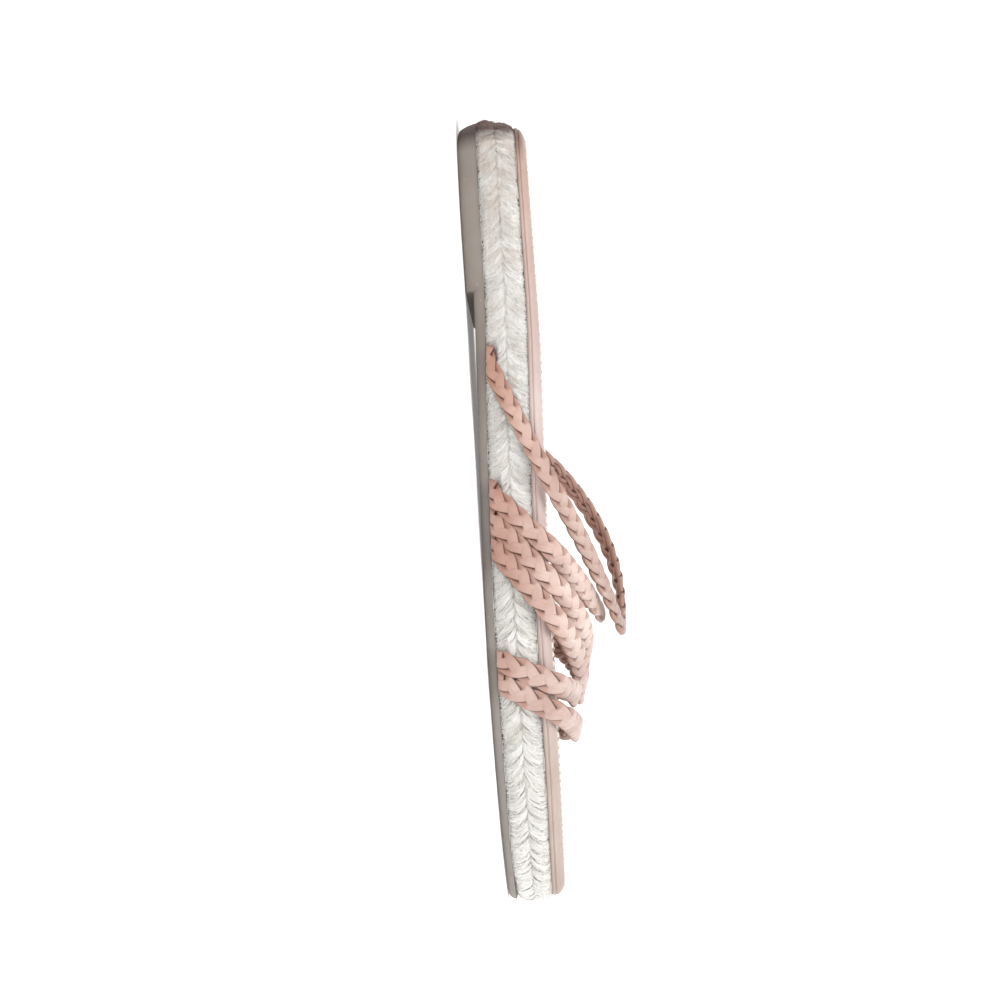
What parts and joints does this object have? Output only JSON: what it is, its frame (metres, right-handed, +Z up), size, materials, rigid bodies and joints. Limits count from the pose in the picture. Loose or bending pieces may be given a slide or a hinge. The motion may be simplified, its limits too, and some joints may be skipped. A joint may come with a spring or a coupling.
{
  "type": "braided sandal",
  "caption": "Flat open-back slide sandal with slack braided leather straps over a padded leather insole, a rope-wrapped midsole and a thin rubber outsole with a low heel lift.",
  "frame": {"origin": "centre of the sandal's box, on the floor that it stands on", "axes": "+X along the sole from heel to toe, +Y to the inner (big toe) side, +Z up from the floor"},
  "size_m": [0.25, 0.0948, 0.0441],
  "materials": {
    "rubber": "matt taupe moulded rubber, lightly dusty",
    "jute": "pale natural rope wrap in a herringbone, hairy",
    "insole_leather": "smooth nude pink leather with a rolled rim",
    "braid_leather": "satin nude pink leather strips, plaited",
    "gathered_leather": "soft leather gathered over elastic",
    "sleeve_leather": "smooth folded and stitched leather"
  },
  "bodies": {
    "root": {"outsole": "rubber", "midsole": "jute", "insole": "insole_leather", "upper": "braid_leather", "arch_strap": "braid_leather", "arch_elastic": "gathered_leather", "instep_elastic": "gathered_leather", "arch_sleeve": "sleeve_leather", "instep_sleeve": "sleeve_leather"}
  },
  "joints": []
}
